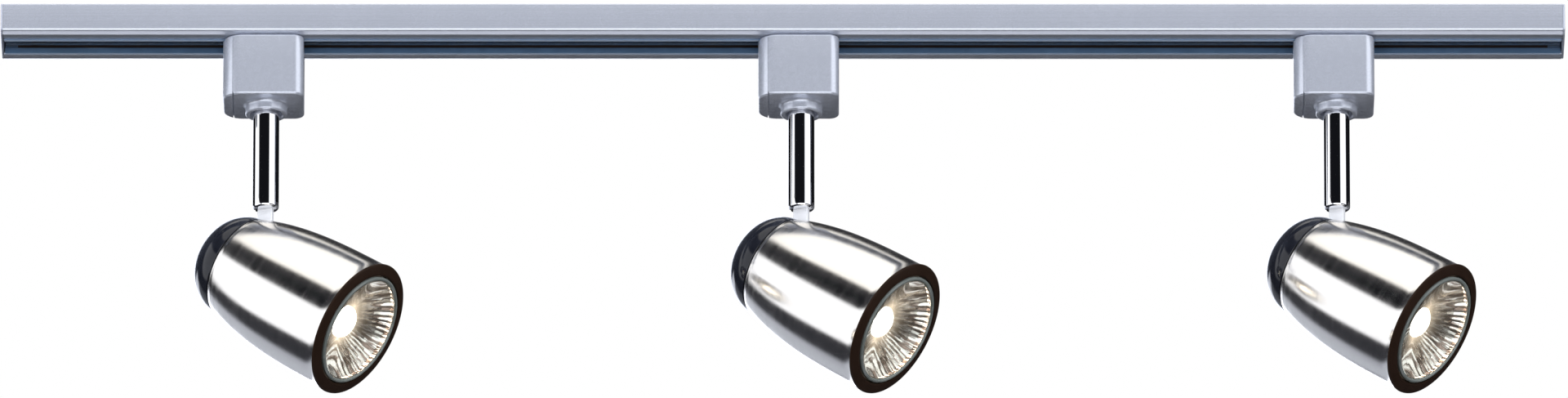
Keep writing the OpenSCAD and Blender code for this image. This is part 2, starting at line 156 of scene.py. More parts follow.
def weighted(tree, *parts):
    """The sum of some values, each times its weight."""
    terms = [times(tree, value, weight) for value, weight in parts]
    total = terms[0]
    for term in terms[1:]:
        total = calc(tree, "ADD", total, term)
    return total


def ramp(tree, value, low, high, to_low=0.0, to_high=1.0):
    """A smooth step from to_low to to_high, while value goes from low to high."""
    made = node(
        tree, "ShaderNodeMapRange",
        {"Value": value, "From Min": low, "From Max": high, "To Min": to_low, "To Max": to_high},
        interpolation_type="SMOOTHSTEP",
    )
    return made.outputs["Result"]


def mix_colour(tree, factor, a, b):
    made = node(tree, "ShaderNodeMix", data_type="RGBA")
    for index, value in ((0, factor), (6, a), (7, b)):
        if isinstance(value, bpy.types.NodeSocket):
            tree.links.new(value, made.inputs[index])
        else:
            made.inputs[index].default_value = (
                (*value, 1) if isinstance(value, (tuple, list)) else value
            )
    return made.outputs[2]


def noise(tree, vector, scale, detail=3.0, rough=0.5):
    made = node(
        tree, "ShaderNodeTexNoise",
        {"Vector": vector, "Scale": scale, "Detail": detail, "Roughness": rough},
    )
    return made.outputs["Fac"]


def stretched(tree, scale, place=None):
    """Object coordinates in metres, or another place, times a scale for each axis."""
    place = place or node(tree, "ShaderNodeTexCoord").outputs["Object"]
    return node(tree, "ShaderNodeMapping", {"Vector": place, "Scale": scale}).outputs[0]


def kept(tree, name):
    """A vector that set_in_place() kept on the mesh."""
    return node(tree, "ShaderNodeAttribute", attribute_name=name).outputs["Vector"]


def scaled(colour, by):
    return tuple(min(1, c * by) for c in colour)


def new_material(name):
    made = bpy.data.materials.new(name)
    made.use_nodes = True
    tree = made.node_tree
    tree.nodes.clear()
    shader = tree.nodes.new("ShaderNodeBsdfPrincipled")
    output = tree.nodes.new("ShaderNodeOutputMaterial")
    tree.links.new(shader.outputs[0], output.inputs[0])
    return made, tree, shader


def set_up(tree, shader, **values):
    """Set or link the shader's inputs; a name's underscores stand for spaces."""
    for name, value in values.items():
        socket = shader.inputs[name.replace("_", " ")]
        if isinstance(value, bpy.types.NodeSocket):
            tree.links.new(value, socket)
        else:
            socket.default_value = (*value, 1) if isinstance(value, tuple) else value


def bump(tree, height, strength, distance):
    return node(
        tree, "ShaderNodeBump",
        {"Height": height, "Strength": strength, "Distance": distance},
    ).outputs[0]


# ---------------------------------------------------------------- materials

def lacquer(name, colour, metallic, roughness, along):
    """Satin silver lacquer: fine flake, faint drawn marks and slightly uneven tone."""
    made, tree, shader = new_material(name)
    flake = noise(tree, stretched(tree, (1, 1, 1)), 9000, 1)
    drawn = noise(tree, stretched(tree, along), 1, 4, 0.6)
    cloud = noise(tree, stretched(tree, (1, 1, 1)), 45, 3)
    tone = weighted(tree, (flake, 0.10), (drawn, 0.04), (cloud, 0.06))
    set_up(
        tree, shader,
        Base_Color=mix_colour(tree, ramp(tree, tone, 0.05, 0.15), scaled(colour, 0.97),
                              scaled(colour, 1.015)),
        Metallic=metallic,
        Roughness=ramp(tree, tone, 0.05, 0.15, roughness - 0.02, roughness + 0.02),
        Normal=bump(tree, flake, 0.02, 0.00002),
    )
    return made


def plastic(name, colour, roughness, grain=2500, depth=0.00005, coat=0.0, ior=1.5):
    """Moulded plastic or rubber with a fine grain and faint uneven gloss."""
    made, tree, shader = new_material(name)
    fine = noise(tree, stretched(tree, (1, 1, 1)), grain, 2)
    broad = noise(tree, stretched(tree, (1, 1, 1)), 120, 3)
    set_up(
        tree, shader,
        Base_Color=mix_colour(tree, ramp(tree, broad, 0.3, 0.7), scaled(colour, 0.92),
                              scaled(colour, 1.06)),
        Roughness=ramp(tree, broad, 0.3, 0.7, roughness - 0.04, roughness + 0.04),
        IOR=ior,
        Coat_Weight=coat,
        Normal=bump(tree, fine, 0.25, depth),
    )
    return made


def metal(name, colour, roughness, streaks, wear):
    """Bare or plated metal: colour, and gloss broken up by fine marks."""
    made, tree, shader = new_material(name)
    marks = noise(tree, stretched(tree, streaks), 700, 4, 0.6)
    smudge = noise(tree, stretched(tree, (1, 1, 1)), 60, 3)
    both = weighted(tree, (marks, 0.5), (smudge, 0.5))
    set_up(
        tree, shader,
        Base_Color=mix_colour(tree, ramp(tree, both, 0.35, 0.65), scaled(colour, 0.93), colour),
        Metallic=1.0,
        Roughness=ramp(tree, both, 0.35, 0.65, roughness, roughness + wear),
        Normal=bump(tree, marks, 0.05, 0.00002),
    )
    return made


def brushed(name, colour, roughness):
    """Metal brushed round its own axis: fine rings, and highlights drawn out along it."""
    made, tree, shader = new_material(name)
    own = kept(tree, "own_place")
    rings = noise(tree, stretched(tree, (12, 12, 5200), own), 1, 4, 0.65)
    broad = noise(tree, stretched(tree, (25, 25, 420), own), 1, 3, 0.5)
    both = weighted(tree, (rings, 0.6), (broad, 0.4))
    tangent = node(
        tree, "ShaderNodeVectorTransform", {"Vector": kept(tree, "around")},
        vector_type="VECTOR", convert_from="OBJECT", convert_to="WORLD",
    ).outputs[0]
    set_up(
        tree, shader,
        Base_Color=mix_colour(tree, ramp(tree, both, 0.38, 0.62), scaled(colour, 0.93), colour),
        Metallic=1.0,
        Roughness=ramp(tree, both, 0.38, 0.62, roughness - 0.03, roughness + 0.05),
        Anisotropic=0.6,
        Anisotropic_Rotation=0.25,
        Tangent=tangent,
        Normal=bump(tree, rings, 0.10, 0.00002),
    )
    return made


def satin(name, colour, metallic, roughness):
    """Satin nickel plate: soft highlights over fine even marks."""
    made, tree, shader = new_material(name)
    marks = noise(tree, stretched(tree, (1, 1, 1)), 300, 2)
    set_up(
        tree, shader,
        Base_Color=mix_colour(tree, ramp(tree, marks, 0.3, 0.7), scaled(colour, 0.97), colour),
        Metallic=metallic,
        Roughness=ramp(tree, marks, 0.3, 0.7, roughness - 0.03, roughness + 0.03),
        Normal=bump(tree, marks, 0.02, 0.000005),
    )
    return made


def black_nickel(name):
    """Dark polished plate: nearly black face on, bright at a glance, with faint smudges."""
    made, tree, shader = new_material(name)
    smudge = noise(tree, stretched(tree, (1, 1, 1)), 70, 3)
    set_up(
        tree, shader,
        Base_Color=mix_colour(tree, ramp(tree, smudge, 0.3, 0.7), (0.010, 0.011, 0.016),
                              (0.020, 0.022, 0.030)),
        Roughness=ramp(tree, smudge, 0.3, 0.7, 0.04, 0.10),
        IOR=1.38,
        Sheen_Weight=1.0,
        Sheen_Roughness=0.22,
        Sheen_Tint=(0.80, 0.86, 1.0),
        Normal=bump(tree, smudge, 0.03, 0.0001),
    )
    return made


def glass(name, colour, roughness):
    """Pressed glass with a faint ripple."""
    made, tree, shader = new_material(name)
    ripple = noise(tree, stretched(tree, (1, 1, 1)), 260, 2)
    set_up(
        tree, shader,
        Base_Color=mix_colour(tree, ripple, scaled(colour, 0.96), colour),
        Roughness=ramp(tree, ripple, 0.3, 0.7, roughness, roughness + 0.02),
        Transmission_Weight=1.0,
        IOR=1.46,
        Normal=bump(tree, ripple, 0.08, 0.0002),
    )
    return made


def reflector(name):
    """The lamp's facets: metal with radial streaks of dull and bright, painted to stand in for the
    facets' dark lines and glints, and a painted glow that grows inwards, standing in for the
    capsule's light on them.
    """
    made, tree, shader = new_material(name)
    xyz = node(tree, "ShaderNodeSeparateXYZ", {0: kept(tree, "own_place")})
    turn = calc(tree, "ARCTAN2", xyz.outputs[1], xyz.outputs[0])
    off = node(tree, "ShaderNodeCombineXYZ", {0: xyz.outputs[0], 1: xyz.outputs[1]})
    radius = node(tree, "ShaderNodeVectorMath", {0: off.outputs[0]}, operation="LENGTH")
    depth = ramp(tree, radius.outputs["Value"], 0, LAMP_R * MM, 1, 0)
    spread = node(tree, "ShaderNodeCombineXYZ",
                  {0: times(tree, turn, 8.0), 1: times(tree, depth, 3.0)})
    # the streaks are painted: dull and bright bands of metal that stand in for the dark lines and
    # glints of the facets; they also vary the roughness and ripple the surface
    streak = noise(tree, spread.outputs[0], 1.6, 2)
    dull, bright = (0.22, 0.165, 0.145), (0.95, 0.91, 0.88)
    # painted glow: emission that stands in for the capsule's light on the facets, strongest at the
    # middle, over a faint painted glow on the whole bowl
    glow = times(tree, calc(tree, "POWER", depth, 3.6), 9.0)
    set_up(
        tree, shader,
        Base_Color=mix_colour(tree, ramp(tree, streak, 0.40, 0.56), dull, bright),
        Metallic=1.0,
        Roughness=ramp(tree, streak, 0.3, 0.7, 0.08, 0.18),
        Emission_Color=(1.0, 0.80, 0.60),
        Emission_Strength=calc(tree, "ADD", glow, 0.05),
        Normal=bump(tree, streak, 0.1, 0.0001),
    )
    return made


def hot(name, colour, strength):
    """White-hot, with a slightly uneven glow."""
    made, tree, shader = new_material(name)
    wave = noise(tree, stretched(tree, (1, 1, 1)), 400, 1)
    set_up(
        tree, shader,
        Base_Color=(0.9, 0.85, 0.75),
        Roughness=0.3,
        Emission_Color=colour,
        Emission_Strength=ramp(tree, wave, 0.3, 0.7, strength * 0.8, strength * 1.2),
    )
    return made


SILVER = (0.66, 0.69, 0.77)
MATERIALS = {
    "rail_aluminium": lacquer("rail_lacquer", SILVER, 0.45, 0.27, (3, 900, 900)),
    "cap_plastic": lacquer("cap_lacquer", SILVER, 0.3, 0.36, (300, 300, 300)),
    "adaptor_plastic": lacquer("adaptor_lacquer", SILVER, 0.45, 0.27, (260, 260, 260)),
    "liner_plastic": plastic("liner_plastic", (0.178, 0.31, 0.50), 0.2, depth=0.00002, ior=1.8),
    # dark, as no copper colour shows in the slot
    "copper": metal("copper", (0.080, 0.058, 0.050), 0.45, (0.01, 1, 1), 0.12),
    "terminal_plastic": plastic("terminal_plastic", (0.03, 0.03, 0.035), 0.5),
    "brass": metal("brass", (0.83, 0.64, 0.30), 0.22, (1, 1, 0.1), 0.12),
    "carrier_plastic": plastic("carrier_plastic", (0.02, 0.02, 0.025), 0.45),
    "spring_steel": metal("spring_steel", (0.70, 0.70, 0.72), 0.2, (1, 1, 1), 0.1),
    "stem_chrome": metal("stem_chrome", (0.90, 0.90, 0.92), 0.03, (1, 1, 0.2), 0.03),
    "pin_steel": metal("pin_steel", (0.86, 0.86, 0.88), 0.06, (1, 1, 1), 0.06),
    "knuckle_metal": satin("knuckle_satin", (0.98, 0.985, 1.0), 0.2, 0.34),
    "dome_black": black_nickel("dome_black_nickel"),
    "barrel_steel": brushed("barrel_brushed", (0.86, 0.84, 0.82), 0.17),
    "ring_enamel": plastic("ring_enamel", (0.028, 0.014, 0.008), 0.42, grain=1500,
                           depth=0.00002, ior=1.25),
    "lamp_reflector": reflector("lamp_facets_painted_glow"),
    "lamp_lens": glass("lamp_glass", (0.95, 0.98, 0.95), 0.02),
    "ceramic": plastic("ceramic", (0.82, 0.80, 0.72), 0.55, grain=900, depth=0.00008),
    "bracket_steel": metal("bracket_steel", (0.70, 0.70, 0.71), 0.3, (1, 1, 1), 0.12),
    "wire_insulation": plastic("wire_insulation", (0.80, 0.79, 0.73), 0.5),
}
RIM_GLASS = plastic("rim_glass", (0.20, 0.22, 0.20), 0.24, grain=400, coat=0.2)
HOT_CAPSULE = hot("hot_capsule", (1.0, 0.96, 0.90), strength=3.0)


# ---------------------------------------------------------------- mesh helpers

def mesh_from(points, faces):
    """A mesh from points in millimetres, with double points joined and faces turned outwards."""
    made = bpy.data.meshes.new("mesh")
    made.from_pydata([Vector(p) * MM for p in points], [], faces)
    repair = bmesh.new()
    repair.from_mesh(made)
    bmesh.ops.remove_doubles(repair, verts=repair.verts, dist=1e-7)
    bmesh.ops.recalc_face_normals(repair, faces=repair.faces)
    repair.to_mesh(made)
    repair.free()
    return made


def shade(mesh, angle=30):
    """Smooth, but sharp where faces meet at more than the angle."""
    mesh.polygons.foreach_set("use_smooth", [True] * len(mesh.polygons))
    mesh.set_sharp_from_angle(angle=math.radians(angle))
    return mesh


def band(low, high):
    """The faces between two rings of points; a ring may be one point, given again and again."""
    faces = []
    for k in range(len(low)):
        n = (k + 1) % len(low)
        face = tuple(dict.fromkeys((low[k], low[n], high[n], high[k])))
        if len(face) > 2:
            faces.append(face)
    return faces


def lathe(profile, sides=96, closed=False, axis_shift=(0, 0)):
    """Turn a profile of radius, height about Z. It is a loop, or runs from axis to axis."""
    points, faces, rings = [], [], []
    for r, z in profile:
        if r < 1e-6:
            rings.append([len(points)] * sides)
            points.append((axis_shift[0], axis_shift[1], z))
            continue
        rings.append(list(range(len(points), len(points) + sides)))
        for k in range(sides):
            a = 2 * math.pi * k / sides
            points.append((axis_shift[0] + r * math.cos(a), axis_shift[1] + r * math.sin(a), z))
    pairs = list(zip(rings, rings[1:] + rings[:1])) if closed else list(zip(rings, rings[1:]))
    for low, high in pairs:
        faces += band(low, high)
    return mesh_from(points, faces)


def stack(outlines):
    """Skin a stack of outlines with the same number of points, closed at both ends."""
    count = len(outlines[0])
    points = [p for outline in outlines for p in outline]
    rings = [tuple(range(i * count, (i + 1) * count)) for i in range(len(outlines))]
    faces = []
    for low, high in zip(rings, rings[1:]):
        faces += band(low, high)
    faces += [rings[0][::-1], rings[-1]]
    return mesh_from(points, faces)


def prism(outline, low, high, place, edge=0.0, steps=3):
    """Carry a flat outline from low to high, with its end edges rounded by edge."""
    ends = []
    for k in range(steps + 1):
        a = math.pi / 2 * k / steps
        ends.append((edge * (1 - math.sin(a)), edge * (1 - math.cos(a))))
    levels = [(low + rise, inset) for inset, rise in ends] if edge else [(low, 0)]
    levels += [(high - rise, inset) for inset, rise in reversed(ends)] if edge else [(high, 0)]
    return stack([[place(u, v, w) for u, v in inset_outline(outline, i)] for w, i in levels])


def inset_outline(outline, amount):
    """Move every corner of an outline inwards by the same distance from its sides."""
    if amount < 1e-9:
        return outline
    count = len(outline)
    area = sum(
        outline[k][0] * outline[(k + 1) % count][1] - outline[(k + 1) % count][0] * outline[k][1]
        for k in range(count)
    )
    turn = 1 if area > 0 else -1
    moved = []
    for k in range(count):
        here = Vector(outline[k])
        back = (here - Vector(outline[k - 1])).normalized()
        ahead = (Vector(outline[(k + 1) % count]) - here).normalized()
        n1, n2 = Vector((-back.y, back.x)) * turn, Vector((-ahead.y, ahead.x)) * turn
        both = n1 + n2
        moved.append(tuple(here + both * (amount / max(0.2, both.dot(n1)))))
    return moved


def rounded(corners, radii, steps=6):
    """A flat outline with each corner rounded by its own radius."""
    made = []
    for k, corner in enumerate(corners):
        here, r = Vector(corner), radii[k] if isinstance(radii, (list, tuple)) else radii
        back = (Vector(corners[k - 1]) - here).normalized()
        ahead = (Vector(corners[(k + 1) % len(corners)]) - here).normalized()
        half = back.angle(ahead) / 2
        if r < 1e-6:
            made.append(tuple(here))
            continue
        middle = here + (back + ahead).normalized() * (r / math.sin(half))
        start = here + back * (r / math.tan(half)) - middle
        end = here + ahead * (r / math.tan(half)) - middle
        turn = start.angle_signed(end)
        for j in range(steps + 1):
            a = -turn * j / steps
            made.append((
                middle.x + start.x * math.cos(a) - start.y * math.sin(a),
                middle.y + start.x * math.sin(a) + start.y * math.cos(a),
            ))
    return made


def quarter(steps):
    """The cosine and sine of even steps from 0 to 90 degrees."""
    angles = [math.radians(90 * k / steps) for k in range(steps + 1)]
    return [(math.cos(a), math.sin(a)) for a in angles]


def box_mesh(low, high):
    corners = [(low[0], low[1]), (high[0], low[1]), (high[0], high[1]), (low[0], high[1])]
    return prism(corners, low[2], high[2], lambda u, v, w: (u, v, w))


def rod(radius, low, high, sides=48, shift=(0, 0)):
    return lathe([(0, low), (radius, low), (radius, high), (0, high)], sides, axis_shift=shift)


def turned(mesh, matrix):
    mesh.transform(matrix)
    return mesh


def set_in_place(mesh, matrix):
    """Turn a mesh into place; it keeps its own coordinates, and the way round its Z axis."""
    own = mesh.attributes.new("own_place", "FLOAT_VECTOR", "POINT")
    around = mesh.attributes.new("around", "FLOAT_VECTOR", "POINT")
    turn = matrix.to_3x3()
    for k, vertex in enumerate(mesh.vertices):
        own.data[k].vector = vertex.co
        around.data[k].vector = turn @ Vector((-vertex.co.y, vertex.co.x, 0))
    mesh.transform(matrix)


def combine(base, *steps):
    """Join, cut or intersect meshes in turn: each step is a boolean operation and a mesh."""
    body = bpy.data.objects.new("work", base)
    bpy.context.scene.collection.objects.link(body)
    others = []
    for operation, other in steps:
        tool = bpy.data.objects.new("tool", other)
        bpy.context.scene.collection.objects.link(tool)
        others.append(tool)
        cut = body.modifiers.new("cut", "BOOLEAN")
        cut.operation, cut.object, cut.solver = operation, tool, "EXACT"
    graph = bpy.context.evaluated_depsgraph_get()
    graph.update()
    result = bpy.data.meshes.new_from_object(body.evaluated_get(graph))
    for scrap in [body, *others]:
        data = scrap.data
        bpy.data.objects.remove(scrap)
        bpy.data.meshes.remove(data)
    return result


def piece(name, mesh, body, slot, stands_for=(), matrix=None, material=None):
    """Show a mesh as a piece that rides on a body."""
    if not mesh.materials:
        mesh.materials.append(material or MATERIALS[slot])
        mesh.name = name
    made = bpy.data.objects.new(name, mesh)
    made.matrix_world = matrix or Matrix.Identity(4)
    bpy.context.scene.collection.objects.link(made)
    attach(made, body)
    if stands_for:
        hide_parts(*stands_for)
    return made


# ---------------------------------------------------------------- track

def along(u, v, w):
    """A section in Y, Z carried along X."""
    return (w, u, v)


def rail_profile():
    """The corners of the rail's outside, from the front ceiling edge to the rear one."""
    half = RAIL_W / 2
    return [(-half, 0), (-half, -RAIL_H + 1.1), (-EDGE_Y, -RAIL_H), (EDGE_Y, -RAIL_H),
            (half, -RAIL_H + 1.1), (half, 0)]


def make_rail():
    half, inner, slot = RAIL_W / 2, RAIL_W / 2 - WALL_T, SLOT_W / 2
    lip = LIP_T - RAIL_H
    corners = [
        (half, 0), (half, -RAIL_H + 0.9), (EDGE_Y, -RAIL_H), (slot, -RAIL_H),
        (slot, lip), (inner, lip), (inner, -WEB_T), (-inner, -WEB_T), (-inner, lip),
        (-slot, lip), (-slot, -RAIL_H), (-EDGE_Y, -RAIL_H), (-half, -RAIL_H + 0.9), (-half, 0),
    ]
    radii = [0.5, 1.3, 0.5, 0.35, 0.2, 0.3, 0.5, 0.5, 0.3, 0.2, 0.35, 0.5, 1.3, 0.5]
    # shallow grooves that run the length of the ceiling face
    for y in CEILING_GROOVES:
        corners += [(y - 0.6, 0), (y - 0.35, -0.3), (y + 0.35, -0.3), (y + 0.6, 0)]
        radii += [0, 0, 0, 0]
    section = rounded(corners, radii, 5)
    bar = prism(section, -RAIL_LEN / 2, RAIL_LEN / 2, along)
    holes = [(FIXING_HOLE_R, 40, MIDDLE_X - SPOT_PITCH / 2),
             (FIXING_HOLE_R, 40, MIDDLE_X + SPOT_PITCH / 2), (CABLE_HOLE_R, 56, CABLE_X)]
    cuts = [("DIFFERENCE", rod(r, -WEB_T - 1, 1, sides, (x, 0))) for r, sides, x in holes]
    piece("rail_body", shade(combine(bar, *cuts), 35), "track", "rail_aluminium", ["rail"])


def make_liners():
    inner, hook, outer = CHANNEL_W / 2, SLOT_W / 2 - 0.05, RAIL_W / 2 - WALL_T - 0.1
    roof, lip, low = -WEB_T - 0.1, LIP_T - RAIL_H + 0.05, -RAIL_H - 0.7
    corners = [
        (inner, low + 0.25), ((inner + hook) / 2, low), (hook, low + 0.25), (hook, lip),
        (outer, lip), (outer, roof), (inner, roof),
        (inner, GROOVE_Z[1]), (GROOVE_BACK, GROOVE_Z[1]), (GROOVE_BACK, GROOVE_Z[1] - 0.5),
        (GROOVE_BACK + 0.8, GROOVE_Z[1] - 0.5), (GROOVE_BACK + 0.8, GROOVE_Z[0] + 0.5),
        (GROOVE_BACK, GROOVE_Z[0] + 0.5), (GROOVE_BACK, GROOVE_Z[0]), (inner, GROOVE_Z[0]),
    ]
    radii = [0.12, 0.1, 0.12, 0, 0.2, 0.3, 0.3, 0.3, 0, 0, 0, 0, 0, 0, 0.3]
    length = RAIL_LEN / 2 - 0.5
    for name, side in (("liner_front", -1), ("liner_rear", 1)):
        section = rounded([(side * y, z) for y, z in corners], radii, 4)
        mesh = shade(prism(section, -length, length, along), 35)
        piece(name + "_strip", mesh, "track", "liner_plastic", [name])


def make_caps():
    half = CHANNEL_W / 2 - 0.25
    section = rounded(rail_profile(), [0.5, 1.2, 1.2, 1.2, 1.2, 0.5], 5)
    for name, side in (("end_feed_cap", -1), ("dead_end_cap", 1)):
        face = prism(section, RAIL_LEN / 2, RAIL_LEN / 2 + CAP_T, along, 0.45, 3)
        plug = box_mesh((RAIL_LEN / 2 - PLUG_LEN, -half, PLUG_LOW),
                        (RAIL_LEN / 2 + 0.3, half, -WEB_T - 0.3))
        mesh = combine(face, ("UNION", plug))
        if side < 0:
            mesh.transform(Matrix.Scale(-1, 4, (1, 0, 0)))
            mesh.flip_normals()
        piece(name + "_moulding", shade(mesh, 35), "track", "cap_plastic", [name])


# ---------------------------------------------------------------- adaptor

def box_body(edge, inside=0.0):
    """The whole rounded box before the latch is parted from it, or one inside it."""
    half, low, high = BOX_Y / 2, BOX_SHIFT - BOX_X / 2, BOX_SHIFT + BOX_X / 2
    section = rounded([(low, -half), (high, -half), (high, half), (low, half)],
                      [LATCH_R, BOX_R, BOX_R, LATCH_R], 12)
    return prism(inset_outline(section, inside), BOX_BOTTOM + inside, BOX_TOP - inside,
                 upright, edge, 5)


def upright(u, v, w):
    return (u, v, w)


def across(u, v, w):
    """A section in X, Z carried along Y."""
    return (u, w, v)


def notch():
    """The room that the box leaves for the liners' edges."""
    return box_mesh((-FAR, -NOTCH_Y, NOTCH_Z), (FAR, NOTCH_Y, 5))


def make_housing():
    fillet, round_r = 1.3, 0.7
    flare = [(COLLAR_R + fillet * (1 - sine), BOX_BOTTOM - fillet * (1 - cosine))
             for cosine, sine in quarter(6)]
    tip = [(COLLAR_R - round_r + round_r * cosine, COLLAR_Z + round_r - round_r * sine)
           for cosine, sine in quarter(5)]
    recess = [(RECESS_R + 0.5, COLLAR_Z), (RECESS_R + 0.1, COLLAR_Z + 0.4),
              (RECESS_R, COLLAR_Z + 0.8), (RECESS_R, COLLAR_Z + COLLAR_H - 1),
              (0, COLLAR_Z + COLLAR_H - 1)]
    collar = lathe([(0, BOX_BOTTOM + 1.2), (COLLAR_R + fillet, BOX_BOTTOM + 1.2), *flare, *tip,
                    *recess], 96)
    # behind the parting line the box carries on inside, so that the line is a shallow groove
    groove = combine(
        box_mesh((LATCH_FACE - 30, -FAR, -FAR), (LATCH_FACE + LATCH_GAP, FAR, FAR)),
        ("DIFFERENCE", box_body(0.6, GROOVE_DEEP)),
    )
    mesh = combine(
        box_body(0.9),
        ("DIFFERENCE", groove),
        ("DIFFERENCE", box_mesh((-FAR, -FAR, -FAR), (LATCH_FACE + 0.02, FAR, FAR))),
        ("DIFFERENCE", box_mesh((LATCH_FACE - 1, 1 - BOX_Y / 2, BOX_BOTTOM - 1),
                                (LATCH_FACE + STEP_WIDE, BOX_Y / 2 - 1, BOX_BOTTOM + STEP_DEEP))),
        ("UNION", collar),
        ("DIFFERENCE", notch()),
        ("DIFFERENCE", box_mesh((CAVITY_LEFT, -CAVITY_Y, NUT_ROOM_TOP - 1),
                                (CAVITY_X, CAVITY_Y, 0))),
        ("DIFFERENCE", box_mesh((NUT_ROOM_LEFT, -CAVITY_Y, FLOOR_Z),
                                (CAVITY_X, CAVITY_Y, NUT_ROOM_TOP))),
        ("UNION", box_mesh((STOP_X[0], -STOP_Y, FLOOR_Z - 0.3),
                           (STOP_X[1], STOP_Y, FLOOR_Z + STOP_H))),
        ("DIFFERENCE", box_mesh((LATCH_FACE - 1, -POCKET_Y, POCKET_Z[0]),
                                (POCKET_RIGHT, POCKET_Y, POCKET_Z[1]))),
        ("DIFFERENCE", rod(STEM_R + 0.07, COLLAR_Z - 2, FLOOR_Z + 1, 72)),
    )
    return shade(mesh, 32)


def make_latch():
    """The end piece that pulls down, with its nose in the slot and its tab on the spring."""
    back, front = LATCH_FACE - 0.5 - NOSE_T, LATCH_FACE - 0.5
    section = rounded([(back, -NOSE_Y), (front, -NOSE_Y), (front, NOSE_Y), (back, NOSE_Y)], 0.5, 4)
    nose = prism(section, NOTCH_Z - 1, NOSE_TOP, upright, 0.4, 3)
    mesh = combine(
        box_body(0.9),
        ("DIFFERENCE", box_mesh((LATCH_FACE, -FAR, -FAR), (FAR, FAR, FAR))),
        ("DIFFERENCE", notch()),
        ("UNION", nose),
        ("UNION", box_mesh((front, -TAB_Y, TAB_Z[0]), (TAB_RIGHT, TAB_Y, TAB_Z[1]))),
    )
    return shade(mesh, 32)


# ---------------------------------------------------------------- stem

def swing_room():
    """The room in the stem for the tongue, from level ahead to straight down, in X, Z."""
    room, reach = TONGUE_W / 2 + SWING_PLAY, SWING_REACH
    ahead, down = math.radians(HEAD_PITCH), math.radians(HEAD_PITCH - 90)
    arc = []
    for k in range(SWING_STEPS + 1):
        a = ahead + (math.pi + down - ahead) * k / SWING_STEPS
        arc.append((room * math.cos(a), PIVOT_Z + room * math.sin(a)))
    return arc + [
        (arc[-1][0] + reach * math.sin(down), arc[-1][1] - reach * math.cos(down)),
        (arc[0][0] + reach * math.sin(ahead), arc[0][1] - reach * math.cos(ahead)),
    ]


def make_stem():
    lip = [(STEM_R - LIP_R + LIP_R * cosine, STEM_BOTTOM + LIP_R - LIP_R * sine)
           for cosine, sine in quarter(6)]
    tube = lathe([(STEM_BORE_R, STEM_TOP), (STEM_R - 0.3, STEM_TOP), (STEM_R, STEM_TOP - 0.3),
                  *lip, (WIRE_HOLE_R, STEM_BOTTOM), (WIRE_HOLE_R, BORE_END_Z),
                  (STEM_BORE_R, BORE_END_Z)], 96, closed=True)
    gap = (TONGUE_T + 0.2) / 2
    fork = prism(swing_room(), -gap, gap, across)
    hole = turned(rod(PIN_R, -12, 12, 40), Matrix.Rotation(math.pi / 2, 4, "X"))
    hole.transform(Matrix.Translation((0, 0, PIVOT_Z * MM)))
    return shade(combine(tube, ("DIFFERENCE", fork), ("DIFFERENCE", hole)), 32)


def make_pin():
    """The pin through the fork, its ends ground flush with the tube."""
    mesh = turned(rod(PIN_R - 0.03, -9, 9, 40), Matrix.Rotation(math.pi / 2, 4, "X"))
    mesh.transform(Matrix.Translation((0, 0, PIVOT_Z * MM)))
    return shade(combine(mesh, ("INTERSECT", rod(STEM_R - 0.01, PIVOT_Z - 3, PIVOT_Z + 3, 96))))


# ---------------------------------------------------------------- head

def tongue(length, room):
    """The tongue's outline in the head's X, Z."""
    r = TONGUE_W / 2 + room
    turn = math.radians(180 + HEAD_PITCH)
    flat = [(r * math.cos(math.radians(a)), r * math.sin(math.radians(a)))
            for a in range(90, 271, 10)]
    flat += [(length, -r), (length, r)]
    return [(PIVOT_FROM_SEAM.x + u * math.cos(turn) - v * math.sin(turn),
             PIVOT_FROM_SEAM.z + u * math.sin(turn) + v * math.cos(turn)) for u, v in flat]


def tongue_slot():
    half = TONGUE_T / 2 + 0.2
    return prism(tongue(TONGUE_LEN + 1, 0.2), -half, half, across)


def make_knuckle():
    half = TONGUE_T / 2
    blade = prism(tongue(TONGUE_LEN, 0), -half, half, across, 0.35, 4)
    foot = box_mesh(FOOT_LOW, FOOT_HIGH)
    hole = rod(PIN_R + 0.05, -6, 6, 40)
    hole.transform(Matrix.Translation(PIVOT_FROM_SEAM * MM) @ Matrix.Rotation(math.pi / 2, 4, "X"))
    return shade(combine(blade, ("UNION", foot), ("DIFFERENCE", hole)), 32)


def make_dome():
    def arc(r, depth, low, steps=24):
        start = math.asin(low / depth)
        return [(r * math.cos(start + (math.pi / 2 - start) * k / steps),
                 depth * math.sin(start + (math.pi / 2 - start) * k / steps))
                for k in range(steps + 1)]
    outer = arc(DOME_R, DOME_DEPTH, SEAM_GAP + 0.25)
    inner = arc(DOME_R - SHELL_T, DOME_DEPTH - SHELL_T, SEAM_GAP + 0.25)
    outer[-1], inner[-1] = (0, DOME_DEPTH), (0, DOME_DEPTH - SHELL_T)
    lip = [(DOME_R - SHELL_T + 0.25, SEAM_GAP), (DOME_R - 0.25, SEAM_GAP)]
    mesh = lathe(list(reversed(inner)) + lip + outer, 128)
    return shade(combine(mesh, ("DIFFERENCE", tongue_slot())), 32)


def barrel_radius(s, bead=BEAD):
    """The barrel's radius at a distance s behind its front edge."""
    taper = BARREL_R - (BARREL_R - DOME_R - 0.3) * (s / BARREL_LEN) ** TAPER_POWER
    return taper + bead * max(0, 1 - s / BEAD_LEN) ** 2


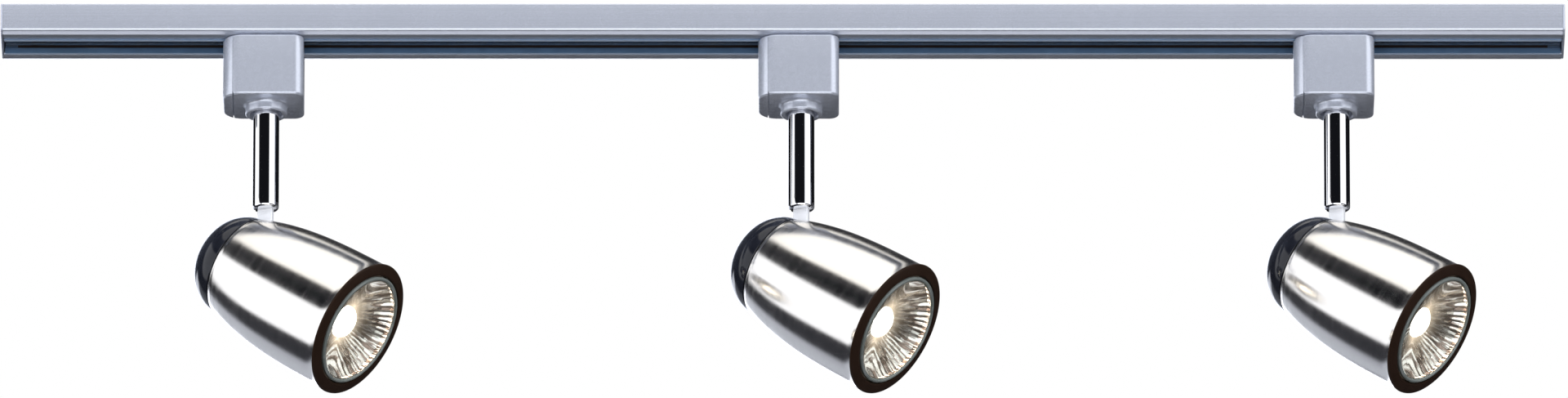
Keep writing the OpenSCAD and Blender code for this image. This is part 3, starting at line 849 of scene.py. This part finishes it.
def make_barrel():
    front, back, steps = 0.5, BARREL_LEN - SEAM_GAP, 56
    places = [front + (back - front) * k / steps for k in range(steps + 1)]
    outer = [(barrel_radius(s), s - BARREL_LEN) for s in places]
    inner = [(barrel_radius(s, 0) - SHELL_T, s - BARREL_LEN) for s in reversed(places)]
    r, z = outer[-1]
    outer[-1:] = [(r - SEAM_EDGE_R + SEAM_EDGE_R * cosine, z - SEAM_EDGE_R + SEAM_EDGE_R * sine)
                  for cosine, sine in quarter(5)]
    return shade(combine(lathe(outer + inner, 128, closed=True),
                         ("DIFFERENCE", tongue_slot())), 32)


def make_ring():
    outer_r, back = BARREL_R + 0.64, 0.5 - BARREL_LEN
    skirt = BARREL_R - SHELL_T - 0.15
    front, inner = -BARREL_LEN - 1.3, LAMP_R + 0.6
    profile = [
        (inner, back), (inner, front + 0.5), (inner + 0.12, front + 0.12), (inner + 0.5, front),
        (inner + 0.9, front + 0.05), (outer_r - 1.0, -BARREL_LEN - 0.38),
        (outer_r - 0.45, -BARREL_LEN - 0.22), (outer_r - 0.1, -BARREL_LEN + 0.05),
        (outer_r, back - 0.15), (outer_r - 0.05, back - 0.02), (outer_r - 0.25, back),
        (skirt, back), (skirt, back + 4), (skirt - 1, back + 4), (skirt - 1, back),
    ]
    return shade(lathe(profile, 128, closed=True), 32)


def bowl_radius(t):
    """The bowl's outer radius at a fraction t of the way from its rim to its neck."""
    return LAMP_NECK_R + (LAMP_R - LAMP_NECK_R - 0.4) * math.sqrt(1 - t)


def make_reflector():
    """The bowl: a smooth outside, and an inside fluted from the neck to the rim."""
    rim = LAMP_FRONT + 1.6
    bowl = LAMP_NECK_Z - rim - 1.5
    sides, steps = FLUTE_SIDES, 16
    points = []

    def ring(r, z, ridge=0.0):
        start = len(points)
        for k in range(sides):
            a = 2 * math.pi * k / sides
            reach = r + ridge * (-1) ** k * (0.75 + 0.25 * math.sin(7.3 * k))
            points.append((reach * math.cos(a), reach * math.sin(a), z))
        return list(range(start, start + sides))

    def tip(z):
        points.append((0, 0, z))
        return [len(points) - 1] * sides

    def skin(rings):
        return [face for low, high in zip(rings, rings[1:]) for face in band(low, high)]

    outside = [ring(LAMP_R, rim), ring(LAMP_R, rim + 1.5)]
    outside += [ring(bowl_radius(k / steps), rim + 1.5 + bowl * k / steps)
                for k in range(steps + 1)]
    outside.append(tip(LAMP_NECK_Z))
    faces = skin(outside)
    smooth = len(faces)
    inside = [ring(LAMP_R - 1.5, rim)]
    for k in range(FLUTE_ROWS + 1):
        r = LAMP_R - 1.6 - (LAMP_R - 1.6 - LAMP_EYE_R) * k / FLUTE_ROWS
        z = rim + 1.5 + LAMP_EYE_DEEP * (1 - (r / LAMP_R) ** 2)
        inside.append(ring(r, z, FLUTE_DEEP * r / LAMP_R))
    inside += [ring(LAMP_EYE_R - 0.6, rim + EYE_BACK), tip(rim + EYE_BACK)]
    faces += skin(inside) + band(outside[0], inside[0])
    mesh = mesh_from(points, faces)
    mesh.polygons.foreach_set("use_smooth", [i < smooth for i in range(len(mesh.polygons))])
    return mesh


def make_rim():
    """The thick moulded edge of the lamp's front glass."""
    z = LAMP_FRONT
    profile = [(LAMP_R - 1.7, z + 1.5), (LAMP_R - 1.65, z + 0.6), (LAMP_R - 1.3, z + 0.2),
               (LAMP_R - 0.7, z + 0.15), (LAMP_R - 0.15, z + 0.5), (LAMP_R, z + 0.9),
               (LAMP_R, z + 1.55), (LAMP_R - 0.4, z + 1.58)]
    return shade(lathe(profile, 96, closed=True))


def make_lens():
    """The lamp's front glass, slightly domed."""
    z, edge = LAMP_FRONT, LAMP_R - 1.75
    profile = [(0, z + 0.1), (edge * 0.35, z + 0.12), (edge * 0.7, z + 0.3),
               (edge - 0.6, z + 0.62), (edge, z + 0.9), (edge, z + 1.5), (edge - 0.4, z + 1.75),
               (edge * 0.7, z + 1.55), (edge * 0.35, z + 1.4), (0, z + 1.38)]
    return shade(lathe(profile, 96))


def make_capsule():
    """The filament's capsule, whose nose stands out of the bowl's eye."""
    low, top, r = LAMP_FRONT + CAPSULE_Z[0], LAMP_FRONT + CAPSULE_Z[1], CAPSULE_R
    nose = [(r * sine, low + CAPSULE_NOSE * (1 - cosine)) for cosine, sine in quarter(9)]
    return shade(lathe([*nose, (r, top - 0.5), (r - 0.5, top), (0, top)], 48))


def make_base():
    """The lamp's ceramic base with its two stepped contact pins."""
    low, high = LAMP_NECK_Z - 0.01, LAMP_BASE_Z
    profile = [(0, low), (LAMP_NECK_R - 0.3, low), (LAMP_NECK_R, low + 0.3),
               (LAMP_NECK_R, high - 0.8), (LAMP_NECK_R - 0.8, high), (0, high)]
    steps = []
    for side in (-1, 1):
        pin = lathe([(0, high - 1), (BASE_PIN_R, high - 1), (BASE_PIN_R, LAMP_PIN_END - 2.2),
                     (BASE_PIN_HEAD_R, LAMP_PIN_END - 2.0), (BASE_PIN_HEAD_R, LAMP_PIN_END - 0.3),
                     (BASE_PIN_HEAD_R - 0.3, LAMP_PIN_END), (0, LAMP_PIN_END)],
                    36, axis_shift=(0, side * BASE_PIN_Y))
        steps.append(("UNION", pin))
    return shade(combine(lathe(profile, 64), *steps), 32)


# ---------------------------------------------------------------- assembly

make_rail()
make_liners()
make_caps()

ADAPTOR_PARTS = [
    ("adaptor_shell", make_housing(), "adaptor", "adaptor_plastic", ["adaptor_housing"]),
    ("latch_cheek", make_latch(), "latch", "adaptor_plastic", ["latch"]),
]
STEM_PARTS = [
    ("stem", make_stem(), "stem", "stem_chrome", ["stem_tube"]),
    ("swivel_pin", make_pin(), "stem", "pin_steel", ["pivot_pin"]),
]
HEAD_PARTS = [
    ("swivel_tongue", make_knuckle(), "head", "knuckle_metal", ["knuckle"]),
    ("dome_shell", make_dome(), "head", "dome_black", ["rear_dome"]),
    ("barrel_shell", make_barrel(), "head", "barrel_steel", ["barrel"]),
    ("bezel", make_ring(), "head", "ring_enamel", ["front_ring"]),
    ("lamp_bowl", make_reflector(), "head", "lamp_reflector", ["lamp_body"]),
    ("lamp_base", make_base(), "head", "ceramic", []),
    ("lamp_capsule", make_capsule(), "head", "lamp_reflector", []),
    ("lamp_rim", make_rim(), "head", "lamp_lens", []),
    ("lamp_glass", make_lens(), "head", "lamp_lens", ["lamp_lens"]),
]
OWN_MATERIAL = {"lamp_capsule": HOT_CAPSULE, "lamp_rim": RIM_GLASS}

pan = Matrix.Rotation(math.radians(HEAD_PAN), 4, "Z")
head = (
    pan
    @ Matrix.Translation((0, 0, PIVOT_Z * MM))
    @ Matrix.Rotation(math.radians(HEAD_PITCH - 90), 4, "Y")
    @ Matrix.Translation(-PIVOT_FROM_SEAM * MM)
)
for parts, matrix in ((STEM_PARTS, pan), (HEAD_PARTS, head)):
    for part in parts:
        set_in_place(part[1], matrix)

for index, spot in enumerate(SPOTS):
    place = Matrix.Translation(((MIDDLE_X + (index - 1) * SPOT_PITCH) * MM, 0, 0))
    for name, mesh, body, slot, nodes in ADAPTOR_PARTS + STEM_PARTS + HEAD_PARTS:
        piece(f"{spot}_{name}", mesh, f"{spot}_{body}", slot,
              [f"{spot}_{n}" for n in nodes], place, OWN_MATERIAL.get(name))

# the CAD's inner parts stay, with their own materials
for part in frame["record"]["subparts"]:
    shown = frame["nodes"].get(part["node"])
    if shown is not None and not shown.hide_render:
        shown.data.materials.clear()
        shown.data.materials.append(MATERIALS[part["material_slot"]])


# ---------------------------------------------------------------- light and stage

def make_floor():
    """A plain pale floor under the camera, matt and faintly uneven, seen by no reflection."""
    material, tree, shader = new_material("floor_paint")
    tone = noise(tree, stretched(tree, (1, 1, 1)), 2, 3)
    set_up(tree, shader, Base_Color=mix_colour(tree, tone, (0.86, 0.86, 0.86), (0.9, 0.9, 0.9)),
           Roughness=0.9)
    corners = [(-1, -1), (1, -1), (1, 1), (-1, 1)]
    mesh = bpy.data.meshes.new("floor")
    mesh.from_pydata([(x * FLOOR_HALF, y * FLOOR_HALF, FLOOR_LEVEL) for x, y in corners],
                     [], [(0, 1, 2, 3)])
    mesh.materials.append(material)
    floor = bpy.data.objects.new("floor", mesh)
    bpy.context.scene.collection.objects.link(floor)
    floor.visible_diffuse = floor.visible_glossy = floor.visible_transmission = False


def make_world():
    """White to the camera, soft daylight on matt paint, and softboxes in the gloss."""
    world = bpy.data.worlds.new("studio")
    bpy.context.scene.world = world
    world.use_nodes = True
    world.cycles.sampling_method = "NONE"
    tree = world.node_tree
    tree.nodes.clear()
    way = node(tree, "ShaderNodeTexCoord").outputs["Generated"]
    xyz = node(tree, "ShaderNodeSeparateXYZ", {0: way})
    x, y, z = xyz.outputs[0], xyz.outputs[1], xyz.outputs[2]
    # degrees to the right of straight ahead, and degrees above level
    front = times(tree, y, -1.0)
    azimuth = times(tree, calc(tree, "ARCTAN2", x, front), math.degrees(1))
    height = times(tree, calc(tree, "ARCSINE", z), math.degrees(1))

    def window(value, low, high, soft):
        """One from low to high and nothing outside, with soft ends."""
        rise = ramp(tree, value, low - soft, low + soft)
        fall = ramp(tree, value, high - soft, high + soft, 1.0, 0.0)
        return times(tree, rise, fall)

    def softbox(azimuths, heights, soft, colour):
        mask = times(tree, window(azimuth, *azimuths, soft), window(height, *heights, soft))
        return mask, colour

    # edges of the side and overhead boxes lean, as a tilted panel's do
    past = ramp(tree, azimuth, -110, -20, -50, 40)
    leaning = calc(tree, "ADD", height, times(tree, past, 0.3))
    steeper = calc(tree, "ADD", height, times(tree, past, 0.47))
    slanted = calc(tree, "ADD", azimuth, ramp(tree, height, -40, 0, -20, 0))
    cool, warm = (1.36, 1.38, 1.42), (1.42, 1.39, 1.32)
    side = times(tree, window(slanted, -106, -46, 4), window(height, -28, 90, 4))
    overhead = times(tree, window(azimuth, -200, 140, 8), window(leaning, 50, 150, 3))
    behind = times(tree, window(calc(tree, "ABSOLUTE", azimuth), 140, 200, 8),
                   window(height, -64, -40, 5))
    # where two boxes overlap, the later one covers the earlier one
    boxes = [
        (times(tree, side, window(steeper, -90, 19, 3)), cool),
        softbox((30, 84), (-4, 40), 3, cool),
        softbox((-34, 34), (-60, -4), 4, (2.1, 2.15, 2.25)),
        (overhead, warm),
        softbox((-200, 200), (60, 100), 6, warm),
        softbox((-164, -130), (-26, 3), 6, (0.52, 0.55, 0.62)),
        softbox((-200, -134), (3, 15), 3, (2.7, 2.8, 3.1)),
        softbox((-200, -162), (3, 34), 4, (2.7, 2.8, 3.1)),
        softbox((160, 200), (2, 34), 5, (0.15, 0.15, 0.16)),
        (behind, (1.45, 1.47, 1.58)),
    ]
    low_dark, high_dark = (0.036, 0.037, 0.044), (0.007, 0.0075, 0.0095)
    top_dark = (0.030, 0.030, 0.034)
    gloss = mix_colour(tree, ramp(tree, z, -0.2, 0.15), low_dark, high_dark)
    gloss = mix_colour(tree, ramp(tree, z, 0.42, 0.55), gloss, top_dark)
    for mask, colour in boxes:
        gloss = mix_colour(tree, mask, gloss, colour)

    # the daylight grows from below up to level, fades overhead, and is stronger in front
    upward = ramp(tree, z, -0.55, 0.2, 0.12, 1.85)
    upward = times(tree, upward, ramp(tree, z, 0.4, 0.9, 1.0, 0.3))
    amount = times(tree, upward, ramp(tree, front, -0.8, 0.9, 0.36, 1.25))
    soft = mix_colour(tree, amount, (0, 0, 0), (0.96, 0.99, 1.06))
    soft.node.clamp_factor = False

    light = node(tree, "ShaderNodeLightPath")
    chosen = mix_colour(tree, light.outputs["Is Diffuse Ray"], gloss, soft)
    chosen = mix_colour(tree, light.outputs["Is Camera Ray"], chosen, (1, 1, 1))
    background = node(tree, "ShaderNodeBackground", {"Color": chosen, "Strength": 1.0})
    output = node(tree, "ShaderNodeOutputWorld")
    tree.links.new(background.outputs[0], output.inputs[0])


make_floor()
make_world()
bpy.context.scene.view_settings.view_transform = "Standard"
